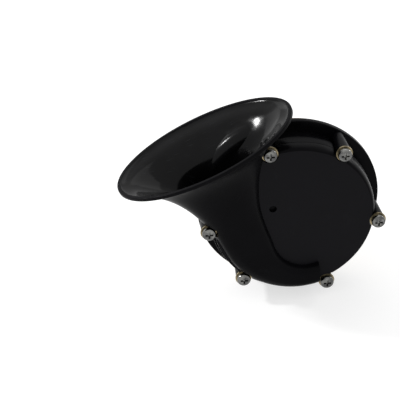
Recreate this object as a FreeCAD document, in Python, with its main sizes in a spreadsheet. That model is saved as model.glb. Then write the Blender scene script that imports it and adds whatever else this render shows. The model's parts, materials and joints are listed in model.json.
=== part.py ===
"""Electric car horn with a moulded spiral trumpet, as a parametric document.

The horn's axis is Y. The mounting stud points along +Y and its seat on the steel case is the
origin. The trumpet's closed front faces -Y and its oval mouth opens upwards and to the left.
Lengths are millimetres and angles are degrees.
"""
import FreeCAD, Part

import math
import os

import Sketcher

from FreeCAD import Base

DIMENSIONS = [
    ("drum_radius", 45.2),
    ("skirt_step", 1.3),
    ("skirt_lift", 0.1),
    ("plate_inset", 0.4),
    ("shoulder_depth", 5.5),
    ("shoulder_rounding", 0.8),
    ("plate_rounding", 0.6),
    ("flange_reach", 6.8),
    ("flange_thickness", 3.0),
    ("flange_rounding", 0.6),
    ("parting_depth", 7.8),
    ("seat_depth", 18.3),
    ("plate_depth", 19.7),
    ("trumpet_wall", 2.2),
    ("bolt_reach", 3.0),
    ("bell_side_bolt_reach", 0.0),
    ("duct_side_bolt_reach", 1.6),
    ("bolt_hole_radius", 2.15),
    ("boss_base_radius", 3.1),
    ("boss_seat_radius", 4.1),
    ("boss_web", 2.4),
    ("seat_clearance", 0.35),
    ("pocket_wall", 1.2),
    ("cut_reach", 30.0),
    ("mark_radius", 2.1),
    ("mark_depth", 1.7),
    ("mark_place", 14.5),
    ("chamber_inset", 4.2),
    ("chamber_depth", 1.6),
    ("throat_radius", 5.5),
    ("channel_floor", 1.0),
    ("channel_inner_radius", 6.5),
    ("channel_outer_inset", 11.4),
    ("channel_throat_half_width", 4.3),
    ("channel_exit_half_width", 4.9),
    ("channel_exit_inset", 6.7),
    ("duct_start_reach", 0.7),
    ("duct_start_edge", 32.5),
    ("duct_exit_inset", 15.7),
    ("duct_exit_half_width", 14.5),
    ("duct_exit_edge", 16.3),
    ("duct_end_turn", 20.0),
    ("duct_bulge", 5.4),
    ("duct_squareness", 3.2),
    ("duct_root", 0.5),
    ("mouth_heading", 114.9),
    ("mouth_reach", 15.2),
    ("mouth_offset", 26.6),
    ("mouth_half_width", 52.6),
    ("mouth_front", 41.2),
    ("mouth_rear", 25.6),
    ("mouth_overrun", 2.0),
    ("lip_wall", 1.8),
    ("lip_bead", 0.7),
    ("lip_height", 2.2),
    ("lip_rounding", 0.5),
    ("case_clearance", 0.6),
    ("shield_rounding", 7.0),
    ("screw_radius", 2.0),
    ("screw_head_radius", 3.9),
    ("screw_head_height", 2.4),
    ("screw_head_rounding", 1.4),
    ("screw_tip", 1.8),
    ("screw_point", 0.4),
    ("recess_length", 4.4),
    ("recess_width", 1.1),
    ("recess_depth", 1.5),
    ("washer_radius", 4.6),
    ("washer_thickness", 0.7),
    ("washer_bore_radius", 2.15),
    ("spring_washer_radius", 3.9),
    ("spring_washer_thickness", 0.8),
    ("spring_washer_gap", 0.5),
    ("rim_reach", 5.6),
    ("gasket_inset", 3.4),
    ("gasket_thickness", 0.4),
    ("diaphragm_thickness", 0.3),
    ("case_sheet", 1.2),
    ("dome_radius", 24.5),
    ("dome_depth", 16.0),
    ("case_wall_inset", 4.7),
    ("case_depth", 32.0),
    ("case_bend", 3.5),
    ("case_root_bend", 1.0),
    ("stud_radius", 4.0),
    ("stud_length", 10.2),
    ("stud_tip", 0.8),
    ("stud_shoulder_radius", 4.2),
    ("stud_collar_radius", 4.9),
    ("core_radius", 8.0),
    ("core_length", 19.0),
    ("bobbin_wall", 1.2),
    ("bobbin_radius", 20.6),
    ("bobbin_length", 14.6),
    ("winding_radius", 19.4),
    ("air_gap", 1.0),
    ("armature_radius", 13.0),
    ("armature_flange_radius", 17.0),
    ("armature_flange_thickness", 1.0),
    ("armature_thickness", 4.0),
    ("armature_stem_radius", 5.0),
    ("rivet_depth", 6.0),
    ("rivet_radius", 2.5),
    ("rivet_head_radius", 4.2),
    ("rivet_head_height", 1.0),
    ("stiffener_radius", 9.0),
    ("stiffener_thickness", 0.6),
    ("fit_clearance", 0.05),
    ("breaker_angle", 205.0),
    ("breaker_offset", 4.5),
    ("breaker_width", 7.0),
    ("breaker_reach", 9.0),
    ("breaker_root", 13.0),
    ("breaker_block", 8.0),
    ("breaker_plate", 0.8),
    ("insulator_thickness", 1.2),
    ("contact_radius", 2.0),
    ("contact_height", 1.0),
    ("contact_offset", 5.5),
    ("leaf_thickness", 0.35),
    ("leaf_tip_radius", 15.5),
    ("leaf_tip_width", 6.0),
    ("leaf_tip_offset", 2.5),
    ("leaf_gap", 0.3),
    ("small_rivet_radius", 1.0),
    ("small_rivet_head_radius", 1.9),
    ("small_rivet_head_height", 0.7),
    ("adjuster_radius", 1.5),
    ("adjuster_way", 0.7),
    ("adjuster_stand", 7.6),
    ("adjuster_head_radius", 3.25),
    ("adjuster_head_height", 2.4),
    ("adjuster_head_rounding", 1.0),
    ("adjuster_slot_width", 0.9),
    ("adjuster_slot_depth", 1.1),
    ("locknut_half_flat", 2.75),
    ("locknut_height", 2.4),
    ("terminal_angle", 300.0),
    ("terminal_offset", 6.7),
    ("terminal_base_width", 21.0),
    ("terminal_base_depth", 8.6),
    ("terminal_base_height", 3.0),
    ("blade_width", 6.3),
    ("blade_thickness", 0.8),
    ("blade_length", 12.0),
    ("blade_foot", 6.8),
    ("blade_half_gap", 2.8),
    ("blade_hole_radius", 0.9),
    ("blade_hole_height", 7.0),
    ("terminal_rivet_radius", 1.5),
    ("terminal_rivet_head_radius", 2.5),
    ("terminal_rivet_head_height", 0.8),
]

# Radii of the round parts, as sums of sheet aliases.
SKIRT = "drum_radius + skirt_step"
PLATE_EDGE = "drum_radius - plate_inset"
FLANGE = "drum_radius + flange_reach"
CHAMBER = "drum_radius - chamber_inset"
RIM = "drum_radius + rim_reach"
GASKET_INNER = "drum_radius - gasket_inset"
CASE_WALL = "drum_radius - case_wall_inset"
BREAKER = "dome_radius + breaker_offset"
TERMINALS = "dome_radius + terminal_offset"
MOUTH = "drum_radius + mouth_reach"

# Angle and radius of each screw. One gives way to the bell and one to the duct.
BOLTS = (
    (109.0, "drum_radius + bell_side_bolt_reach"),
    (56.6, "drum_radius + bolt_reach"),
    (-5.4, "drum_radius + bolt_reach"),
    (-65.0, "drum_radius + bolt_reach"),
    (-126.5, "drum_radius + duct_side_bolt_reach"),
    (-174.0, "drum_radius + bolt_reach"),
)
FREE_BOSSES = BOLTS[:3]

DUCT_ANGLES = (-67.0, -73.0, -81.0, -91.0, -103.0, -117.0, -131.0, -144.0)
BELL_SHARES = (0.0, 0.22, 0.42, 0.58, 0.7, 0.79, 0.86, 0.915, 0.96, 1.0)
CHANNEL_ANGLES = tuple(range(-79, 236, 17))
OVAL_POINTS = 24
OVAL_PLACES = [float(index) for index in range(OVAL_POINTS + 1)]

os.makedirs("parts", exist_ok=True)
doc = FreeCAD.newDocument("car_horn")


def make_sheet():
    """Write the driving dimensions to a sheet, one alias each."""
    sheet = doc.addObject("Spreadsheet::Sheet", "Dimensions")
    for row, (alias, value) in enumerate(DIMENSIONS, start=1):
        sheet.set(f"A{row}", alias)
        sheet.set(f"B{row}", str(value))
        sheet.setAlias(f"B{row}", alias)
    doc.recompute()
    return sheet


sheet = make_sheet()


def size(expression):
    """Value in millimetres of a sum of sheet aliases, for shapes that carry no constraints."""
    total = 0.0
    for sign, alias in signed_terms(expression):
        total += sign * (float(alias) if alias[0].isdigit() else float(getattr(sheet, alias)))
    return total


def signed_terms(expression):
    """Split a sum such as "a + b - 2.0" into pairs of sign and term."""
    terms = []
    sign = 1.0
    for word in expression.split():
        if word in "+-":
            sign = 1.0 if word == "+" else -1.0
        else:
            terms.append((sign, word))
            sign = 1.0
    return terms


def sheet_expression(expression):
    """Rewrite a sum of aliases as an expression that reads the sheet."""
    words = []
    for word in expression.split():
        plain = word in "+-" or word[0].isdigit()
        words.append(word if plain else "Dimensions." + word)
    if words[0] == "-":
        words = ["0", *words]
    return " ".join(words)


def origin_plane(body, role):
    """One of the body's own origin planes or axes, found by its role."""
    return next(item for item in body.Origin.OriginFeatures if item.Role == role)


def new_body(label):
    body = doc.addObject("PartDesign::Body", label)
    body.Label = label
    return body


def profile_sketch(body, name, points, role="XY_Plane"):
    """Closed outline through points whose two coordinates are sums of sheet aliases."""
    sketch = body.newObject("Sketcher::SketchObject", name)
    sketch.AttachmentSupport = [(origin_plane(body, role), "")]
    sketch.MapMode = "FlatFace"
    vertices = [Base.Vector(size(across), size(along), 0) for across, along in points]
    count = len(vertices)
    for index in range(count):
        sketch.addGeometry(Part.LineSegment(vertices[index], vertices[(index + 1) % count]), False)
    for index in range(count):
        sketch.addConstraint(Sketcher.Constraint("Coincident", index, 2, (index + 1) % count, 1))
    for index, (across, along) in enumerate(points):
        for kind, words, axis in (("DistanceX", across, -2), ("DistanceY", along, -1)):
            if words == "0":
                sketch.addConstraint(Sketcher.Constraint("PointOnObject", index, 1, axis))
                continue
            value = size(words)
            number = sketch.addConstraint(Sketcher.Constraint(kind, -1, 1, index, 1, value))
            sketch.setExpression(f"Constraints[{number}]", sheet_expression(words))
    return sketch


def turned_body(label, points):
    """Solid of revolution round the horn's axis. Points are radius and place along Y."""
    body = new_body(label)
    sketch = profile_sketch(body, label + "_profile", points)
    turn = body.newObject("PartDesign::Revolution", label + "_turn")
    turn.Profile = sketch
    turn.ReferenceAxis = (sketch, ["V_Axis"])
    turn.Angle = 360
    doc.recompute()
    return body


def ring_points(inner, outer, low, high):
    return [(inner, low), (outer, low), (outer, high), (inner, high)]


def round_edges(body, label, radius_expression, wanted):
    """Fillet the circular edges of a body's tip that the test picks."""
    base = body.Tip
    names = []
    for number, edge in enumerate(base.Shape.Edges, start=1):
        if isinstance(edge.Curve, Part.Circle) and wanted(edge.Curve.Radius, edge.Curve.Center.y):
            names.append(f"Edge{number}")
    fillet = body.newObject("PartDesign::Fillet", label)
    fillet.Base = (base, names)
    fillet.Radius = size(radius_expression)
    fillet.setExpression("Radius", sheet_expression(radius_expression))
    doc.recompute()
    return fillet


def near(first, second):
    return abs(first - second) < 1e-3


def feature(label, shape):
    """Document object that carries a shape made with Part's functions."""
    item = doc.addObject("Part::Feature", label)
    item.Label = label
    item.Shape = shape
    return item


def axial_cylinder(radius, low, high, x=0.0, z=0.0):
    """Cylinder along Y between two places."""
    return Part.makeCylinder(radius, high - low, Base.Vector(x, low, z), Base.Vector(0, 1, 0))


def on_circle(radius, angle):
    """X and Z of a place on a circle round the horn's axis."""
    return radius * math.cos(math.radians(angle)), radius * math.sin(math.radians(angle))


def bolt_places():
    """X and Z of the six screws. Those beside the bell and the duct stand a little further in."""
    return [on_circle(size(radius), angle) for angle, radius in BOLTS]


def turned(shape, angle):
    """Turn a shape that was drawn on the X axis to its place round the horn's axis."""
    shape.rotate(Base.Vector(0, 0, 0), Base.Vector(0, 1, 0), -angle)
    return shape


# Places along Y, as sums of sheet aliases.
RIM_FRONT = "- case_depth - case_sheet"
DIAPHRAGM_REAR = RIM_FRONT + " - gasket_thickness"
DIAPHRAGM_FRONT = DIAPHRAGM_REAR + " - diaphragm_thickness"
FLANGE_REAR = DIAPHRAGM_FRONT + " - gasket_thickness"
FLANGE_FRONT = FLANGE_REAR + " - flange_thickness"
CORE_END = "- case_sheet - core_length"
ARMATURE_TOP = CORE_END + " - air_gap"


def smooth_step(share):
    """Ease from 0 to 1 with level ends."""
    share = min(max(share, 0.0), 1.0)
    return share * share * (3.0 - 2.0 * share)


def blend(first, last, share):
    return first + (last - first) * share


def oval(centre, across, half_width, front, rear, squareness):
    """Points of a closed oval. across is its direction in the XZ plane, front and rear its Y limits."""
    middle = 0.5 * (front + rear)
    half_depth = 0.5 * (rear - front)
    points = []
    for index in range(OVAL_POINTS):
        turn = 2.0 * math.pi * (index + 0.5) / OVAL_POINTS
        wide = math.copysign(abs(math.cos(turn)) ** (2.0 / squareness), math.cos(turn))
        deep = math.copysign(abs(math.sin(turn)) ** (2.0 / squareness), math.sin(turn))
        point = centre + across * (half_width * wide)
        points.append(point + Base.Vector(0, middle + half_depth * deep, 0))
    return points


def smooth_curve(points, places, closed):
    """Cubic curve through points at given parameters."""
    curve = Part.BSplineCurve()
    curve.interpolate(Points=points, PeriodicFlag=closed, Parameters=places)
    return curve


def skinned_solid(ovals):
    """Solid whose smooth side runs through every oval, closed by flat ends."""
    rings = [smooth_curve(points, OVAL_PLACES, True) for points in ovals]
    places = [0.0]
    for before, after in zip(ovals, ovals[1:]):
        step = sum((b - a).Length for a, b in zip(before, after)) / OVAL_POINTS
        places.append(places[-1] + step)
    ribs = []
    for column in zip(*(ring.getPoles() for ring in rings)):
        ribs.append(smooth_curve(list(column), places, False))
    surface = Part.BSplineSurface()
    surface.buildFromPolesMultsKnots([rib.getPoles() for rib in ribs],
                                     rings[0].getMultiplicities(), ribs[0].getMultiplicities(),
                                     rings[0].getKnots(), ribs[0].getKnots(), True, False, 3, 3)
    side = surface.toShape()
    ends = [Part.Face(Part.Wire([ring.toShape()])) for ring in (rings[0], rings[-1])]
    shell = Part.makeShell([side, *ends])
    shell.sewShape()
    return Part.Solid(shell)


def duct_sections(inset, lip):
    """Ovals along the last turn of the duct and the bell, drawn in by inset from the outside."""
    front_face = size(FLANGE_FRONT)
    plate = front_face - size("plate_depth")
    rear = front_face + size("duct_root")
    leave = size("drum_radius - duct_exit_inset")
    exit_half_width = size("duct_exit_half_width")
    squareness = size("duct_squareness")
    end_gap = math.degrees(inset / size("drum_radius"))
    sections = []
    for angle in DUCT_ANGLES:
        angle -= end_gap * (angle == DUCT_ANGLES[0])
        share = (DUCT_ANGLES[0] - angle) / (DUCT_ANGLES[0] - DUCT_ANGLES[-1] + 11.0)
        outer_edge = blend(size("drum_radius + duct_start_reach"), leave + exit_half_width, share)
        inner_edge = blend(size("duct_start_edge"), size("duct_exit_edge"), smooth_step(1.05 * share))
        half_width = blend((outer_edge - inner_edge) / 1.95, exit_half_width, share ** 4)
        x, z = on_circle(outer_edge - half_width, angle)
        turned_end = size("duct_end_turn") * (not sections)
        side, rise = on_circle(1.0, angle - turned_end)
        sections.append(oval(Base.Vector(x, 0, z), Base.Vector(side, 0, rise), half_width - inset,
                             plate - size("duct_bulge") + inset, rear - inset, squareness))
    ahead, across = bell_directions()
    mouth_front = front_face - size("mouth_front")
    mouth_rear = front_face + size("mouth_rear")
    for share in BELL_SHARES:
        gentle = share ** 1.9
        steep = share ** 7
        half_width = blend(exit_half_width, size("mouth_half_width"), 0.64 * gentle + 0.36 * steep)
        front = blend(plate - size("duct_bulge"), mouth_front, 0.38 * gentle + 0.62 * steep)
        back = blend(rear, mouth_rear, 0.05 * share ** 2 + 0.95 * share ** 9)
        thin = blend(inset, lip, share ** 4)
        centre = ahead * (size(MOUTH) * share) + across * blend(leave, size("mouth_offset"), share)
        sections.append(oval(centre, across, half_width - thin, front + thin, back - thin,
                             blend(squareness, 2.0, share ** 0.7)))
    return sections


def bell_directions():
    """The way that the bell faces, and the way across it, away from the drum."""
    heading = math.radians(size("mouth_heading"))
    ahead = Base.Vector(math.cos(heading), 0, math.sin(heading))
    return ahead, Base.Vector(-math.sin(heading), 0, math.cos(heading))


def outer_duct():
    """Outside of the last turn and the bell, with a rounded bead round the mouth."""
    duct = skinned_solid(duct_sections(0.0, size("lip_bead")))
    ahead, _ = bell_directions()
    mouth = smooth_curve(duct_sections(0.0, 0.0)[-1], OVAL_PLACES, True).toShape()
    bead = Part.Face(Part.Wire([mouth])).extrude(ahead * -size("lip_height"))
    rims = [edge for edge in bead.Edges if edge.Closed]
    return duct.fuse(bead.makeFillet(size("lip_rounding"), rims))


def inner_duct():
    """Air space of the last turn and the bell, run a little past the mouth."""
    sections = duct_sections(size("trumpet_wall"), size("lip_wall"))
    ahead, _ = bell_directions()
    sections.append([point + ahead * size("mouth_overrun") for point in sections[-1]])
    space = skinned_solid(sections)
    return space.cut(case_shield(size("trumpet_wall"), size("shield_rounding")))


def case_shield(wall, rounding):
    """Room of the case and the flange behind the trumpet, grown by a wall, under the bell's flare."""
    front = size(FLANGE_FRONT) - 0.5 * wall
    rear = size(FLANGE_FRONT) + size("mouth_rear")
    low = size(RIM + " + case_clearance") + wall
    high = size(MOUTH + " - lip_wall - case_clearance")
    cone = Part.makeCone(low, high, rear - front, Base.Vector(0, front, 0), Base.Vector(0, 1, 0))
    rim = [edge for edge in cone.Edges if near(edge.BoundBox.YMin, front) and near(edge.BoundBox.YMax, front)]
    return cone.makeFillet(rounding, rim) if rounding else cone


def spiral_channel():
    """Air space of the inner turns: a spiral of one depth, from the throat to the last turn."""
    inner_edge = []
    outer_edge = []
    outer = size("drum_radius - channel_outer_inset")
    first, last = CHANNEL_ANGLES[0], CHANNEL_ANGLES[-1]
    for angle in CHANNEL_ANGLES:
        share = (last - angle) / (last - 60.0)
        radius = blend(size("channel_inner_radius"), outer, smooth_step(share) ** 1.2)
        late = smooth_step((60.0 - angle) / (60.0 - first))
        radius += (size("drum_radius - channel_exit_inset") - outer) * late
        along = (last - angle) / (last - first)
        half = blend(size("channel_throat_half_width"), size("channel_exit_half_width"), along)
        for edge, reach in ((inner_edge, radius - half), (outer_edge, radius + half)):
            x, z = on_circle(reach, angle)
            edge.append(Base.Vector(x, 0, z))
    curves = []
    for edge in (inner_edge, outer_edge):
        curve = Part.BSplineCurve()
        curve.interpolate(edge)
        curves.append(curve.toShape())
    start = Part.makeLine(inner_edge[0], outer_edge[0])
    end = Part.makeLine(outer_edge[-1], inner_edge[-1])
    face = Part.Face(Part.Wire([curves[0], end, curves[1], start]))
    low = size(FLANGE_FRONT) - size("plate_depth") + size("trumpet_wall")
    high = size(FLANGE_FRONT + " - channel_floor")
    face.translate(Base.Vector(0, low, 0))
    channel = face.extrude(Base.Vector(0, high - low, 0))
    throat = axial_cylinder(size("throat_radius"), low, size(FLANGE_REAR))
    return channel.fuse(throat)


def drum():
    """Round body of the trumpet: back wall, wider skirt, and a front plate that stands off a shoulder."""
    face = size(FLANGE_FRONT)
    parting = face - size("parting_depth")
    plate = face - size("plate_depth")
    shoulder = plate + size("shoulder_depth")
    back = axial_cylinder(size("drum_radius"), 0.5 * (shoulder + parting), face)
    skirt = rounded_disc(size(SKIRT), shoulder, parting - size("skirt_lift"), size("shoulder_rounding"))
    disc = rounded_disc(size(PLATE_EDGE), plate, 0.5 * (shoulder + parting), size("plate_rounding"))
    body = back.fuse([skirt, disc])
    notch = size("washer_radius + seat_clearance")
    for angle, radius in FREE_BOSSES:
        x, z = on_circle(size(radius), angle)
        body = body.cut(axial_cylinder(notch, plate - size("cut_reach"), face, x, z))
    return body


def rounded_disc(radius, front, rear, rounding):
    """Disc with its front edge rounded."""
    disc = axial_cylinder(radius, front, rear)
    rim = [edge for edge in disc.Edges if near(edge.BoundBox.YMax, front) and near(edge.BoundBox.YMin, front)]
    return disc.makeFillet(rounding, rim)


def bosses():
    """Tapered posts from the flange to the screw seats, one round each screw."""
    face = size(FLANGE_FRONT)
    posts = []
    for x, z in bolt_places():
        posts.append(Part.makeCone(size("boss_base_radius"), size("boss_seat_radius"), size("seat_depth"),
                                   Base.Vector(x, face, z), Base.Vector(0, -1, 0)))
    web = size("boss_web")
    seat = face - size("seat_depth")
    for angle, radius in FREE_BOSSES:
        inner = size(radius + " - washer_radius - seat_clearance - pocket_wall")
        outer = size(radius + " - bolt_hole_radius")
        rib = Part.makeBox(outer - inner, face - seat, web, Base.Vector(inner, seat, -0.5 * web))
        posts.append(turned(rib, angle))
    return posts


def screw_pockets():
    """Blanks of the pockets that the screw heads stand in where a boss reaches into the duct."""
    seat = size(FLANGE_FRONT) - size("seat_depth")
    radius = size("washer_radius + seat_clearance + pocket_wall")
    return [axial_cylinder(radius, seat - size("cut_reach"), seat, x, z) for x, z in bolt_places()]


def screw_ways():
    """Clearance holes for the screws and the round flats that their washers sit on."""
    face = size(FLANGE_FRONT)
    seat = face - size("seat_depth")
    ways = []
    for x, z in bolt_places():
        ways.append(axial_cylinder(size("bolt_hole_radius"), seat - 1.0, size(FLANGE_REAR) + 1.0, x, z))
        ways.append(axial_cylinder(size("washer_radius + seat_clearance"), seat - size("cut_reach"),
                                   seat, x, z))
    return ways


def trumpet_solid():
    """Whole trumpet before it is parted, with its air spaces and screw holes."""
    face = size(FLANGE_FRONT)
    rear = size(FLANGE_REAR)
    flange = rounded_disc(size(FLANGE), face, rear, size("flange_rounding"))
    duct = outer_duct()
    body = drum().fuse([flange, duct])
    body = body.cut([inner_duct(), spiral_channel()])
    pockets = [duct.common(pocket) for pocket in screw_pockets()]
    body = body.fuse(bosses() + [pocket for pocket in pockets if pocket.Solids])
    body = body.cut(screw_ways())
    case_room = case_shield(0.0, 0.0).common(half_space(rear, False))
    chamber = axial_cylinder(size(CHAMBER), rear - size("chamber_depth"), rear)
    mark_x, mark_z = on_circle(size("mark_place"), 147.0)
    plate = face - size("plate_depth")
    mark = axial_cylinder(size("mark_radius"), plate - 1.0, plate + size("mark_depth"), mark_x, mark_z)
    return body.cut([case_room, chamber, mark]).removeSplitter()


def half_space(place, front):
    """Large block on one side of a place along Y."""
    reach = 200.0
    low = place - reach if front else place
    return Part.makeBox(2 * reach, reach, 2 * reach, Base.Vector(-reach, low, -reach))




def part_trumpet():
    """Front and back half of the trumpet."""
    whole = trumpet_solid()
    parting = size(FLANGE_FRONT) - size("parting_depth")
    front = whole.common(half_space(parting, True))
    back = whole.common(half_space(parting, False))
    return feature("trumpet_front", front), feature("trumpet_back", back)


def drilled(body, label, places, radius_expression):
    """Through holes along Y, sketched on the body's XZ plane and cut both ways."""
    sketch = body.newObject("Sketcher::SketchObject", label)
    sketch.AttachmentSupport = [(origin_plane(body, "XZ_Plane"), "")]
    sketch.MapMode = "FlatFace"
    for x, z in places:
        centre = Base.Vector(x, z, 0)
        number = sketch.addGeometry(Part.Circle(centre, Base.Vector(0, 0, 1), size(radius_expression)), False)
        radius = sketch.addConstraint(Sketcher.Constraint("Radius", number, size(radius_expression)))
        sketch.setExpression(f"Constraints[{radius}]", sheet_expression(radius_expression))
        sketch.addConstraint(Sketcher.Constraint("DistanceX", -1, 1, number, 3, x))
        sketch.addConstraint(Sketcher.Constraint("DistanceY", -1, 1, number, 3, z))
    pocket = body.newObject("PartDesign::Pocket", label + "_cut")
    pocket.Profile = sketch
    pocket.Type = "ThroughAll"
    pocket.Midplane = True
    doc.recompute()
    return body


def case_body():
    """Stepped steel case: a dome for the coil, a shelf for the breaker, a wall and a screwed rim."""
    body = turned_body("case", [
        ("stud_collar_radius + fit_clearance", "0"),
        ("dome_radius", "0"),
        ("dome_radius", "- dome_depth"),
        (CASE_WALL, "- dome_depth"),
        (CASE_WALL, "- case_depth"),
        (RIM, "- case_depth"),
        (RIM, RIM_FRONT),
        (CASE_WALL + " - case_sheet", RIM_FRONT),
        (CASE_WALL + " - case_sheet", "- dome_depth - case_sheet"),
        ("dome_radius - case_sheet", "- dome_depth - case_sheet"),
        ("dome_radius - case_sheet", "- case_sheet"),
        ("stud_collar_radius + fit_clearance", "- case_sheet"),
    ])
    dome, wall, sheet_gauge = size("dome_radius"), size(CASE_WALL), size("case_sheet")
    outside = [(dome, 0.0), (wall, -size("dome_depth"))]
    inside = [(dome - sheet_gauge, -sheet_gauge), (wall - sheet_gauge, -size("dome_depth") - sheet_gauge)]
    root_outside = [(dome, -size("dome_depth")), (wall, -size("case_depth"))]
    root_inside = [(dome - sheet_gauge, -size("dome_depth") - sheet_gauge),
                   (wall - sheet_gauge, size(RIM_FRONT))]
    for label, radius, corners in (("case_shoulders_inside", "case_bend - case_sheet", inside),
                                   ("case_shoulders", "case_bend", outside),
                                   ("case_roots", "case_root_bend", root_outside),
                                   ("case_roots_inside", "case_root_bend + case_sheet", root_inside)):
        round_edges(body, label, radius,
                    lambda r, y, corners=corners: any(near(r, a) and near(y, b) for a, b in corners))
    drilled(body, "case_screw_holes", bolt_places(), "screw_radius + fit_clearance")
    drilled(body, "case_adjuster_hole", [breaker_place(0.0)], "adjuster_radius + fit_clearance")
    drilled(body, "case_rivet_holes", [breaker_place(-offset) for offset in breaker_rivets()],
            "small_rivet_radius + fit_clearance")
    drilled(body, "case_terminal_holes", terminal_places(), "terminal_rivet_radius + fit_clearance")
    return body


def place_on_shelf(angle, radius, along):
    """X and Z of a place on the shelf, with its distance along the tangent."""
    x, z = on_circle(radius, angle)
    aside = math.radians(angle)
    return x - along * math.sin(aside), z + along * math.cos(aside)


def breaker_place(along):
    return place_on_shelf(size("breaker_angle"), size(BREAKER), along)


def breaker_rivets():
    """Distances of the breaker's rivets from its adjusting screw."""
    root = size("breaker_root")
    block = size("breaker_block")
    return root - 0.75 * block, root - 0.25 * block


def terminal_places():
    """Places of the two terminal rivets on the shelf."""
    reach = size("blade_half_gap") + 0.5 * size("blade_foot") + 0.4
    return [place_on_shelf(size("terminal_angle"), size(TERMINALS), side * reach)
            for side in (-1, 1)]


def sealing_rings():
    """Diaphragm and the paper ring on each side of it."""
    rings = []
    for label, inner, low, high in (
            ("gasket_rear", GASKET_INNER, DIAPHRAGM_REAR, RIM_FRONT),
            ("diaphragm", "rivet_radius + fit_clearance", DIAPHRAGM_FRONT, DIAPHRAGM_REAR),
            ("gasket_front", GASKET_INNER, FLANGE_REAR, DIAPHRAGM_FRONT)):
        ring = turned_body(label, ring_points(inner, RIM, low, high))
        rings.append(drilled(ring, label + "_holes", bolt_places(), "bolt_hole_radius"))
    return rings


def magnet():
    """Core with its mounting stud, stud collar, bobbin and winding."""
    core = turned_body("core_stud", [
        ("0", CORE_END),
        ("core_radius", CORE_END),
        ("core_radius", "- case_sheet"),
        ("stud_shoulder_radius", "- case_sheet"),
        ("stud_shoulder_radius", "0"),
        ("stud_radius", "0"),
        ("stud_radius", "stud_length - stud_tip"),
        ("stud_radius - stud_tip", "stud_length"),
        ("0", "stud_length"),
    ])
    collar = turned_body("stud_collar", ring_points("stud_shoulder_radius + fit_clearance",
                                                    "stud_collar_radius", "- case_sheet", "0"))
    top = "- case_sheet - fit_clearance"
    foot = top + " - bobbin_length"
    bore = "core_radius + fit_clearance"
    bobbin = turned_body("coil_bobbin", [
        (bore, foot),
        ("bobbin_radius", foot),
        ("bobbin_radius", foot + " + bobbin_wall"),
        (bore + " + bobbin_wall", foot + " + bobbin_wall"),
        (bore + " + bobbin_wall", top + " - bobbin_wall"),
        ("bobbin_radius", top + " - bobbin_wall"),
        ("bobbin_radius", top),
        (bore, top),
    ])
    winding = turned_body("coil_winding", ring_points(bore + " + bobbin_wall", "winding_radius",
                                                      foot + " + bobbin_wall", top + " - bobbin_wall"))
    return [core, collar, bobbin, winding]


def moving_pieces():
    """Armature, the rivet that holds it to the diaphragm and the stiffening washer."""
    ledge = ARMATURE_TOP + " - armature_flange_thickness"
    foot = ARMATURE_TOP + " - armature_thickness"
    bore_end = DIAPHRAGM_REAR + " + rivet_depth"
    armature = turned_body("armature", [
        ("0", ARMATURE_TOP),
        ("armature_flange_radius", ARMATURE_TOP),
        ("armature_flange_radius", ledge),
        ("armature_radius", ledge),
        ("armature_radius", foot),
        ("armature_stem_radius", foot),
        ("armature_stem_radius", DIAPHRAGM_REAR),
        ("rivet_radius + fit_clearance", DIAPHRAGM_REAR),
        ("rivet_radius + fit_clearance", bore_end + " + fit_clearance"),
        ("0", bore_end + " + fit_clearance"),
    ])
    washer_front = DIAPHRAGM_FRONT + " - stiffener_thickness"
    rivet = turned_body("armature_rivet", [
        ("0", washer_front + " - rivet_head_height"),
        ("rivet_head_radius", washer_front + " - rivet_head_height"),
        ("rivet_head_radius", washer_front),
        ("rivet_radius", washer_front),
        ("rivet_radius", bore_end),
        ("0", bore_end),
    ])
    washer = turned_body("diaphragm_washer", ring_points("rivet_radius + fit_clearance", "stiffener_radius",
                                                         washer_front, DIAPHRAGM_FRONT))
    return [armature, rivet, washer]


def screw_master():
    """One flange screw on the Y axis: pan head with a cross recess, shank with a small chamfer."""
    seat = size(FLANGE_FRONT) - size("seat_depth")
    under = seat - size("washer_thickness") - size("spring_washer_thickness")
    tip = -size("case_depth") + size("screw_tip")
    shank = axial_cylinder(size("screw_radius"), under, tip)
    shank = shank.makeChamfer(size("screw_point"), [edge for edge in shank.Edges if near(edge.BoundBox.YMin, tip)])
    head_end = under - size("screw_head_height")
    head = axial_cylinder(size("screw_head_radius"), head_end, under)
    head = head.makeFillet(size("screw_head_rounding"),
                           [edge for edge in head.Edges if near(edge.BoundBox.YMax, head_end)])
    recess = []
    length, width = size("recess_length"), size("recess_width")
    for long, wide in ((length, width), (width, length)):
        recess.append(Part.makeBox(long, size("recess_depth"), wide,
                                   Base.Vector(-0.5 * long, head_end, -0.5 * wide)))
    return head.cut(recess).fuse(shank)


def group(label, master, places):
    """One node of equal pieces: moved copies of a master, as separate solids."""
    copies = []
    for x, z in places:
        copy = master.copy()
        copy.translate(Base.Vector(x, 0, z))
        copies.append(copy)
    return feature(label, Part.makeCompound(copies))


def flange_fasteners():
    """Six screws, each with a flat washer and a spring washer."""
    seat = size(FLANGE_FRONT) - size("seat_depth")
    middle = seat - size("washer_thickness")
    low = middle - size("spring_washer_thickness")
    bore = size("washer_bore_radius")
    flat = axial_cylinder(size("washer_radius"), middle, seat).cut(axial_cylinder(bore, middle, seat))
    spring = axial_cylinder(size("spring_washer_radius"), low, middle).cut(axial_cylinder(bore, low, middle))
    gap = size("spring_washer_gap")
    split = Part.makeBox(size("spring_washer_radius"), size("spring_washer_thickness"), gap,
                         Base.Vector(0, low, -0.5 * gap))
    places = bolt_places()
    return [group("trumpet_screws", screw_master(), places),
            group("flat_washers", flat, places),
            group("spring_washers", spring.cut(split), places)]


def shelf_box(angle, radial, low, high, along):
    """Box on the shelf between two radii, two places along Y and two along the tangent."""
    box = Part.makeBox(radial[1] - radial[0], high - low, along[1] - along[0],
                       Base.Vector(radial[0], low, along[0]))
    return turned(box, angle)


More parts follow.
